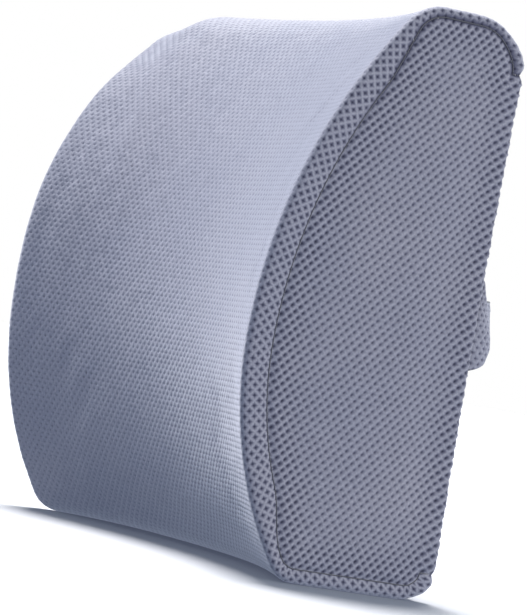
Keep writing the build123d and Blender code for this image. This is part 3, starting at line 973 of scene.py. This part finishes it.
FORM_VOXEL = 6.0
FORM_OUT = 5.2  # the cover's face outside the foam's
SIM_FRAMES = 20
SIM_PRESSURE = 4.0
PIN_REACH = 8.0  # fabric this near a seam is held by it
MOST_MOVE = 8.0
SWELL_STEP = 6.0
SWELL_FADE = 30.0  # the swell comes back to nothing over this distance from a seam
NEIGHBOURS = 6


def closed_form(name, inflate):
    """The foam's closed form, remeshed evenly, relaxed, and moved out along its normals."""
    piece = bpy.data.objects.new(name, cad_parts["foam_core"].data.copy())
    bpy.context.scene.collection.objects.link(piece)
    piece.modifiers.new("weld", "WELD").merge_threshold = 0.01 * MM
    remesh = piece.modifiers.new("even", "REMESH")
    remesh.mode = "VOXEL"
    remesh.voxel_size = FORM_VOXEL * MM
    relax = piece.modifiers.new("relax", "SMOOTH")
    relax.iterations = 10
    out = piece.modifiers.new("out", "DISPLACE")
    out.strength = inflate * MM
    out.mid_level = 0.0
    shape = bpy.data.meshes.new_from_object(piece.evaluated_get(bpy.context.evaluated_depsgraph_get()))
    piece.modifiers.clear()
    piece.data = shape
    return piece


def mesh_points(mesh):
    """A mesh's points, in millimetres."""
    points = np.empty(3 * len(mesh.vertices), np.float32)
    mesh.vertices.foreach_get("co", points)
    return points.reshape(-1, 3).astype(float) / MM


def point_tree(points):
    tree = KDTree(len(points))
    for k, point in enumerate(points):
        tree.insert(point, k)
    tree.balance()
    return tree


def blown_cover():
    """Blows up a closed form of the cover, as cloth that the seams hold: its points, and how far each moves
    out."""
    form = closed_form("cover_form", FORM_OUT)
    rest = mesh_points(form.data)
    x = np.linspace(-ZIP_HALF, ZIP_HALF, SEAM_STEPS)
    zipper = np.stack([x, np.full(SEAM_STEPS, BACK_Y), np.full(SEAM_STEPS, ZIP_Z)], axis=1)
    seams = point_tree(np.concatenate([*seam_lines(0.0), zipper]))
    held = [k for k, point in enumerate(rest) if seams.find(point)[2] < PIN_REACH]
    form.vertex_groups.new(name="held").add(held, 1.0, "REPLACE")
    cloth = form.modifiers.new("cloth", "CLOTH")
    cloth.settings.vertex_group_mass = "held"
    cloth.settings.use_pressure = True
    cloth.settings.uniform_pressure_force = SIM_PRESSURE
    cloth.settings.effector_weights.gravity = 0.0
    cloth.point_cache.frame_end = SIM_FRAMES
    scene = bpy.context.scene
    for step in range(1, SIM_FRAMES + 1):
        scene.frame_set(step)
    blown = mesh_points(form.evaluated_get(bpy.context.evaluated_depsgraph_get()).data)
    scene.frame_set(1)
    normals = np.empty(3 * len(rest), np.float32)
    form.data.vertices.foreach_get("normal", normals)
    bpy.data.objects.remove(form)
    out = np.clip(np.sum((blown - rest) * normals.reshape(-1, 3), axis=1), 0, None)
    return rest, MOST_MOVE * np.tanh(out / MOST_MOVE)


def swollen(sheet, region, blown, outward, most):
    """The sheet, moved out as its simulated fabric is: at most this far, and not at all along its seams."""
    if blown is None:
        return sheet
    tree, out = blown
    a, b = (np.arange(line[0], line[-1] + SWELL_STEP, SWELL_STEP) for line in (sheet.a, sheet.b))
    ab = pairs(a, b)
    points, _ = sheet.at(ab)
    near = [[hit[1] for hit in tree.find_n(point, NEIGHBOURS)] for point in points]
    gap = np.where(region.holds(ab), region.nearest(ab)[1], 0)
    move = most * np.tanh(out[near].mean(axis=1) / most) * smooth(gap / SWELL_FADE)
    coarse = Sheet(a, b, points.reshape(len(a), len(b), 3))
    move = coarse.read(move.reshape(len(a), len(b), 1), pairs(sheet.a, sheet.b))
    move = move.reshape(len(sheet.a), len(sheet.b), 1)
    return Sheet(sheet.a, sheet.b, sheet.points + outward * sheet.normals * move)


SIDE_SWELL = 3.2
BACK_SWELL = 2.4
WRAP_SWELL = 1.4


def make_cover(material):
    """The five fabric panels of the cover."""
    blown = None
    rest, out = blown_cover()
    blown = point_tree(rest), out
    side_knit = Knit(pitch=4.82, row=2.98, tilt=-3.65, hole=(1.65, 0.84), fine=True)
    wrap_knit = Knit(pitch=5.6, row=2.9, hole=(1.35, 1.10), relief=0.5)
    back_knit = Knit(pitch=4.82, row=2.98, hole=(1.40, 1.05))
    region = wrap_region()
    sheet = swollen(wrap_sheet(), region, blown, 1, WRAP_SWELL)
    wrap = knitted("front_panel_cover", wrap_knit, sheet, region, material, widen=wider_at_edge)
    made = [(wrap, "front_panel")]
    region = side_region()
    for name, end in (("left", -1), ("right", 1)):
        sheet = swollen(side_sheet(end), region, blown, end, SIDE_SWELL)
        side = knitted(f"side_panel_{name}_cover", side_knit, sheet, region, material, flip=end < 0,
                       widen=wider_at_seam)
        made.append((side, f"side_panel_{name}"))
    for level in ("upper", "lower"):
        region = back_region(level)
        sheet = swollen(back_sheet(), region, blown, -1, BACK_SWELL)
        back = knitted(f"back_panel_{level}_cover", back_knit, sheet, region, material, flip=True)
        made.append((back, f"back_panel_{level}"))
    for piece, node in made:
        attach(piece, "cushion")
        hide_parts(node)


# ---------------------------------------------------------------- foam and liner

LINER_OUT = 0.6  # liner's surface outside the foam's


def soft_form(name, inflate, material):
    """The foam's closed form, moved out by this much, with the same give as the cover."""
    piece = closed_form(name, inflate)
    shape = piece.data
    shape.vertices.foreach_set("co", (warped(mesh_points(shape)) * MM).astype(np.float32).ravel())
    shape.shade_smooth()
    shape.materials.clear()
    shape.materials.append(material)
    return piece


def make_filling(foam, liner):
    for name, node, inflate, material, slot in (
        ("foam_block", "foam_core", 0.0, foam, "memory_foam"),
        ("liner_bag", "inner_liner", LINER_OUT, liner, "liner_knit"),
    ):
        piece = soft_form(name, inflate, material)
        finish_piece(piece, "cushion", [node])


# ---------------------------------------------------------------- zipper

COIL_WIRE_R = 0.34
COIL_PITCH = 1.5
COIL_TURN_STEPS = 12
COIL_LEAN = 0.18  # how far the loops lean along the chain, as a share of their pitch
TAPE_RIB = 0.12
TAPE_PICK = 1.0  # the ribs' pitch
TAPE_COLUMNS = 18
CORD_HIGH = 0.35
CORD_AT, CORD_WIDE = 0.10, 0.05  # as shares of the tape's width
STOP_BEVEL = 0.5
BLOCK_STEPS = 5
HEM_IN = 3.2  # hem stitches' distance from the slot's edge
HEM_OUT = 0.45


def coil_helix(x0, x1, inner_z, outer_z, phase):
    """The nylon wire of one coil: flattened loops from the tape's edge to the chain's middle."""
    steps = int((x1 - x0) / COIL_PITCH * COIL_TURN_STEPS)
    turn = np.linspace(0, 2 * math.pi * (x1 - x0) / COIL_PITCH, steps)
    reach_z = abs(outer_z - inner_z) / 2 - COIL_WIRE_R
    reach_y = (coil_high[1] - coil_low[1]) / 2 - COIL_WIRE_R
    x = x0 + (turn / (2 * math.pi) + COIL_LEAN * np.sin(turn + phase)) * COIL_PITCH
    y = CHAIN_Y + reach_y * np.sin(turn + phase)
    z = (inner_z + outer_z) / 2 + reach_z * np.cos(turn + phase)
    return tube(np.stack([x, y, z], axis=1), COIL_WIRE_R)


def tape(inner_z, outer_z):
    """A woven tape: a flat band with fine ribs and a thicker cord next to the coil."""
    x = np.arange(-ZIP_HALF, ZIP_HALF + 0.01, TAPE_PICK)
    across = np.linspace(0, 1, TAPE_COLUMNS)
    z = inner_z + (outer_z - inner_z) * across
    low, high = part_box("zipper_tape_upper")
    half = (high[1] - low[1]) / MM / 2
    cord = CORD_HIGH * np.exp(-(((across - CORD_AT) / CORD_WIDE) ** 2))
    rib = TAPE_RIB * (np.arange(len(x)) % 2)[:, None] + cord[None]
    grids = []
    for side in (1, -1):
        y = CHAIN_Y + side * (half - TAPE_RIB + rib)
        grids.append(surface(x[:, None], y, z[None]).reshape(-1, 3))
    front = grid_faces(len(x), len(z))
    back = grid_faces(len(x), len(z), len(grids[0]))[:, ::-1]
    faces = np.concatenate([front, back, rim_quads(len(x), len(z))[:, ::-1]])
    return np.concatenate(grids), (faces if outer_z < inner_z else faces[:, ::-1])


def rounded_block(low, high, bevel):
    """Points and quads of a block with chamfered edges and corners."""
    low, high = np.array(low, float), np.array(high, float)
    centre, half = (low + high) / 2, (high - low) / 2
    grid = np.linspace(-1, 1, BLOCK_STEPS)
    u, v = np.meshgrid(grid, grid, indexing="ij")
    made = []
    for axis in range(3):
        for end in (-1, 1):
            cube = np.zeros((BLOCK_STEPS, BLOCK_STEPS, 3))
            cube[..., axis] = end
            cube[..., (axis + 1) % 3] = u * end
            cube[..., (axis + 2) % 3] = v
            spread = np.sign(cube) * np.minimum(np.abs(cube) ** 0.5, 1) * half
            core = np.clip(spread, -(half - bevel), half - bevel)
            away = spread - core
            size = np.linalg.norm(away, axis=-1, keepdims=True)
            points = core + np.where(size > 0, away / np.maximum(size, 1e-9) * np.minimum(size, bevel), 0)
            made.append(((centre + points).reshape(-1, 3), grid_faces(BLOCK_STEPS, BLOCK_STEPS)[:, ::-1]))
    return joined(made)


def solid_boxes(node):
    """The boxes (low, high) of a CAD node's separate solids, in millimetres."""
    mesh = bmesh.new()
    mesh.from_mesh(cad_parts[node].data)
    bmesh.ops.remove_doubles(mesh, verts=mesh.verts, dist=0.001 * MM)
    left = set(mesh.verts)
    boxes = []
    while left:
        seed = left.pop()
        group, front = [seed], [seed]
        while front:
            for edge in front.pop().link_edges:
                for vertex in edge.verts:
                    if vertex in left:
                        left.discard(vertex)
                        group.append(vertex)
                        front.append(vertex)
        found = np.array([v.co for v in group]) / MM
        boxes.append((found.min(0), found.max(0)))
    mesh.free()
    return sorted(boxes, key=lambda box: tuple(box[0].round(3)))


def make_zipper(tape_material, coil_material, metal, thread):
    outer = node_box("zipper_tape_upper")[1][2] - ZIP_Z
    for level, up in (("upper", 1), ("lower", -1)):
        edge_z = ZIP_Z + up * (coil_high[2] - ZIP_Z)
        phase = 0.0 if up > 0 else math.pi
        helix = coil_helix(coil_low[0], coil_high[0], ZIP_Z, edge_z, phase)
        teeth = piece_of(f"zipper_teeth_{level}", [helix], coil_material)
        finish_piece(teeth, "cushion", [f"zipper_coil_{level}"])
        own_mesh(teeth)
        woven = piece_of(f"zipper_woven_tape_{level}", [tape(edge_z, ZIP_Z + up * outer)], tape_material)
        finish_piece(woven, "cushion", [f"zipper_tape_{level}"])
    blocks = [rounded_block(low, high, STOP_BEVEL) for low, high in solid_boxes("zipper_end_stops")]
    clamps = piece_of("zipper_stop_clamps", blocks, metal)
    finish_piece(clamps, "cushion", ["zipper_end_stops"])
    rows = []
    for up in (1, -1):
        z = ZIP_Z + up * (SLOT_HALF + HEM_IN)
        rows += stitches([(-ZIP_HALF, BACK_Y + HEM_OUT, z), (ZIP_HALF, BACK_Y + HEM_OUT, z)])
    finish_piece(piece_of("zipper_hem_stitches", rows, thread), "cushion")


# ---------------------------------------------------------------- strap

TAB_ROOT_X = 166.5
TAB_TIP_X = 112.0
TAB_LEVEL_X = 134.0
TAB_ROOT_HALF = 25.0
TAB_TIP_HALF = 14.0
TAB_FOLD = 21.0  # over this length from the seam the tab's upper edge comes down to its tip's level
TAB_NARROW = 29.0  # the same for its lower edge
TAB_BURIED = 2.0  # how far its root starts behind the back seam
TAB_BULGE = (1.0, 7.0)  # how far its bend reaches past the root and past its level part, in x and y
TAB_TUCK = 0.62  # share of its bulge that the upper edge loses near the seam
TUCK_A = 12, 20  # where the tuck ends along the tab and starts across it, and over what lengths
TUCK_B = -12, 34
TAB_THICK = 2.4
EDGE_STEPS = 40
EDGING_R = 0.75
WEB_THICK = 1.4
LAP_X = 128.0
LAP_GAP = 0.3
WEB_HALF = 12.5
WEB_RIBS = 15
RIB_HIGH = 0.09
PICK_HIGH = 0.05
WEB_STEP = 0.55
SELVEDGE = 0.93, 0.07  # where the selvedge's rounding starts and how wide it is, as shares of half the width
BAR_X = 26.7
WEB_TURN_R = 1.9
TAIL_X = 92.0
RETURN_X = 48.0
INNER_WEB_Y = BUCKLE_Y - WEB_TURN_R
OUTER_WEB_Y = BUCKLE_Y + WEB_TURN_R
TAB_Y = INNER_WEB_Y - WEB_THICK / 2 - LAP_GAP - TAB_THICK / 2


def tab_route():
    """The tab's middle line (x, y) on the right, from its seam out and round to its level tip."""
    t = np.linspace(0, 1, 30)
    root, level = (TAB_ROOT_X, BACK_Y - TAB_BURIED), (TAB_LEVEL_X, TAB_Y)
    bend = (TAB_ROOT_X + TAB_BULGE[0], TAB_Y + TAB_BULGE[1])
    curve = rounding(*(np.array(p) for p in (root, bend, level)), t)
    tip = np.stack([np.linspace(TAB_LEVEL_X, TAB_TIP_X, 13)[1:], np.full(12, TAB_Y)], axis=1)
    return np.concatenate([curve, tip])


def tab_edges(s):
    """The tab's upper and lower edge, measured from its middle. The upper one comes down sooner."""
    spare = TAB_ROOT_HALF - TAB_TIP_HALF
    return (TAB_TIP_HALF + spare * (1 - smooth(s / TAB_FOLD)),
            -TAB_TIP_HALF - spare * (1 - smooth(s / TAB_NARROW)))


def tab_sheet(end):
    """The tab's outer face. Its coordinates are the length from its seam and the height from its middle."""
    route = tab_route()
    run = run_of(route)
    a = np.arange(0, run[-1] + 1, 1.0)
    b = np.linspace(-TAB_ROOT_HALF - 2, TAB_ROOT_HALF + 2, 28)
    along = np.stack([np.interp(a, run, route[:, 0]), np.interp(a, run, route[:, 1])], axis=1)
    face = along + sideways(along, a) * TAB_THICK / 2
    tuck = 1 - TAB_TUCK * eased(b[None], *TUCK_B) * (1 - eased(a[:, None], *TUCK_A))
    y = BACK_Y + (face[:, 1:] - BACK_Y) * tuck
    return Sheet(a, b, surface(end * face[:, :1], y, STRAP_Z + b[None])), run[-1]


def tab_outline(length):
    s = np.linspace(0, length, EDGE_STEPS)
    upper, lower = tab_edges(s)
    return np.concatenate([np.stack([s, lower], axis=1), np.stack([s, upper], axis=1)[::-1]])


def web_route(x_end):
    """Webbing's middle line (x, y) on the right: the lap, on to the buckle's bar, and back to x_end."""
    lap = np.arange(LAP_X, BAR_X, -WEB_STEP)
    turn = np.linspace(-math.pi / 2, -3 * math.pi / 2, 14)
    bar = np.stack([BAR_X + WEB_TURN_R * np.cos(turn), BUCKLE_Y + WEB_TURN_R * np.sin(turn)], axis=1)
    back = np.arange(BAR_X + WEB_STEP, x_end, WEB_STEP)
    lap, back = (np.stack([x, np.full(len(x), y)], axis=1)
                 for x, y in ((lap, INNER_WEB_Y), (back, OUTER_WEB_Y)))
    return np.concatenate([lap, bar, back])


def webbing(route, end):
    """Ribbed elastic webbing along a route, upright, with rounded selvedges."""
    out = sideways(route)
    columns = WEB_RIBS * 4 + 1
    u = np.linspace(-1, 1, columns)
    start, wide = SELVEDGE
    selvedge = np.sqrt(np.clip(1 - (np.clip(np.abs(u) - start, 0, 1) / wide) ** 2, 0.02, 1))
    rib = RIB_HIGH * np.cos(u * WEB_RIBS * math.pi) * (np.abs(u) < start)
    pick = PICK_HIGH * (np.arange(len(route)) % 2)
    half = (WEB_THICK / 2 - RIB_HIGH - PICK_HIGH) * selvedge[None] + rib[None] + pick[:, None]
    grids = []
    for side in (1, -1):
        x, y = (route[:, k:k + 1] + side * out[:, k:k + 1] * half for k in (0, 1))
        grids.append(surface(end * x, y, STRAP_Z + u[None] * WEB_HALF).reshape(-1, 3))
    front = grid_faces(len(route), columns)
    edge = np.roll(rim_quads(len(route), columns), -1, axis=1)
    faces = np.concatenate([front, front[:, ::-1] + len(grids[0]), edge])
    return np.concatenate(grids), (faces if end > 0 else faces[:, ::-1])


BOX_STITCH = 1.7
BOX_GAP = 0.6
BOX_THREAD_R = 0.24
TACK_PITCH = 0.7
TACK_HALF = 1.4
TACK_LEAN = 0.5
TACK_THREAD_R = 0.26


def box_stitches(x0, x1, y, half):
    """A box with a cross in it, sewn through the lapped layers."""
    corners = [(x0, -half), (x1, -half), (x1, half), (x0, half), (x0, -half), (x1, half)]
    route = [(x, y, STRAP_Z + z) for x, z in corners] + [(x1, y, STRAP_Z - half), (x0, y, STRAP_Z + half)]
    made = []
    for start, stop in zip(route[:-1], route[1:]):
        made += stitches([start, stop], length=BOX_STITCH, gap=BOX_GAP, radius=BOX_THREAD_R)
    return made


def bar_tack(x, y, half):
    """A dense bar of short threads across the webbing."""
    made = []
    for k, z in enumerate(STRAP_Z + np.arange(-half, half, TACK_PITCH)):
        lean = TACK_LEAN if k % 2 else -TACK_LEAN
        path = [(x - TACK_HALF, y, z), (x, y + 0.1, z + lean / 2), (x + TACK_HALF, y, z + lean)]
        made.append(tube(path, TACK_THREAD_R))
    return made


def make_strap(mesh_material, web_material, thread):
    tab_knit = Knit(pitch=4.82, row=2.98, hole=(1.25, 1.0))
    outer_y = INNER_WEB_Y + WEB_THICK / 2
    for side, end in (("left", -1), ("right", 1)):
        sheet, length = tab_sheet(end)
        outline = tab_outline(length)
        tab = knitted(f"strap_tab_{side}_mesh", tab_knit, sheet, Region(outline), mesh_material,
                      flip=end < 0, thick=TAB_THICK - 0.3, seam_depth=0.7)
        blend_piece(tab,
                    [f"strap_tab_{side}"])
        edges = []
        for row in (outline[:EDGE_STEPS], outline[EDGE_STEPS:]):
            points, normals = sheet.at(row)
            edges.append(tube(points - normals * end * TAB_THICK / 2, EDGING_R))
        edging = piece_of(f"strap_tab_{side}_edging", edges, thread)
        blend_piece(edging)
        route = web_route(TAIL_X if end > 0 else RETURN_X)
        web = piece_of(f"strap_webbing_{side}", [webbing(route, end)], web_material)
        if end > 0:
            finish_piece(web, "strap_middle", ["elastic_strap_right"])
        else:
            blend_piece(web,
                        ["elastic_strap_left"])
        rows = box_stitches(end * (LAP_X - 2), end * (TAB_TIP_X + 2), outer_y, WEB_HALF - 3)
        finish_piece(piece_of(f"strap_lap_stitches_{side}", rows, thread), "strap_middle")
    for name, x, body in (("strap_return_tack", -RETURN_X + 4, "strap_plug"),
                          ("strap_tail_tack", TAIL_X - 5, "strap_middle")):
        tack = piece_of(name, bar_tack(x, OUTER_WEB_Y + WEB_THICK / 2, WEB_HALF - 2), thread)
        finish_piece(tack, body)


RIB_COUNT = 5
RIB_PITCH = 2.4
RIB_WIDE = 1.3
RIB_PROUD = 0.5
RIB_SUNK = 0.4
RIB_HALF = 8.0
RIB_BEVEL = 0.6 * RIB_PROUD


def grip_ribs(node, body, middle_x, material):
    """A field of moulded ribs on a buckle part's outer face, where a thumb holds it."""
    face_y = node_box(node)[1][1]
    blocks = []
    for k in range(RIB_COUNT):
        x = middle_x + (k - (RIB_COUNT - 1) / 2) * RIB_PITCH
        low = (x - RIB_WIDE / 2, face_y - RIB_SUNK, STRAP_Z - RIB_HALF)
        high = (x + RIB_WIDE / 2, face_y + RIB_PROUD, STRAP_Z + RIB_HALF)
        blocks.append(rounded_block(low, high, RIB_BEVEL))
    finish_piece(piece_of(f"{node}_grip_ribs", blocks, material), body)


def finish_node(node, material, edge):
    """A CAD node keeps its shape and gets this material, with its edges softened by this many millimetres."""
    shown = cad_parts[node]
    for held in shown.material_slots:
        held.material = material
    shown.modifiers.new("weld", "WELD").merge_threshold = 0.002 * MM
    soften = shown.modifiers.new("edge", "BEVEL")
    soften.width = edge * MM
    soften.segments = 2
    soften.limit_method = "ANGLE"
    soften.angle_limit = math.radians(40)


make_camera()
make_studio()
spacer_mesh = spacer_mesh_material()
liner_knit = woven_material("white_liner_knit", (0.80, 0.80, 0.78), (0.55, 0.55, 0.55),
                            ("X", 1.3), ("Z", 1.1), depth=0.25)
tape_weave = woven_material("zipper_tape_weave", (0.055, 0.060, 0.085), (0.02, 0.022, 0.035),
                            ("X", 1.0), ("DIAGONAL", 1.4), depth=0.15)
elastic_weave = woven_material("elastic_weave", (0.030, 0.030, 0.036), (0.010, 0.010, 0.013),
                               ("Z", 1.6), ("X", 1.1), depth=0.2, sheen=0.5)
sewing_thread = woven_material("sewing_thread", (0.075, 0.078, 0.105), (0.030, 0.032, 0.050),
                               ("DIAGONAL", 0.5), ("X", 0.6), depth=0.06, roughness=0.6, sheen=0.6)
coil_nylon = smooth_material("coil_nylon", (0.035, 0.037, 0.050), (0.060, 0.062, 0.080),
                             roughness=0.38, grain=0.01)
gunmetal = smooth_material("painted_gunmetal", (0.085, 0.088, 0.100), (0.20, 0.20, 0.22),
                           roughness=0.34, grain=0.008, metallic=0.7)
black_acetal = smooth_material("black_acetal", (0.018, 0.018, 0.020), (0.034, 0.034, 0.038),
                               roughness=0.42, grain=0.02)
make_cover(spacer_mesh)
make_seams(sewing_thread)
make_filling(foam_material(), liner_knit)
make_zipper(tape_weave, coil_nylon, gunmetal, sewing_thread)
make_strap(spacer_mesh, elastic_weave, sewing_thread)
for node, material, edge in (
    ("zipper_slider", gunmetal, 0.15),
    ("zipper_pull", gunmetal, 0.2),
    ("buckle_socket", black_acetal, 0.4),
    ("buckle_plug", black_acetal, 0.4),
    ("buckle_plug_arms", black_acetal, 0.3),
    ("strap_keeper", black_acetal, 0.25),
):
    finish_node(node, material, edge)
grip_ribs("buckle_socket", "strap_middle", 8.0, black_acetal)
grip_ribs("buckle_plug", "strap_plug", -15.2, black_acetal)
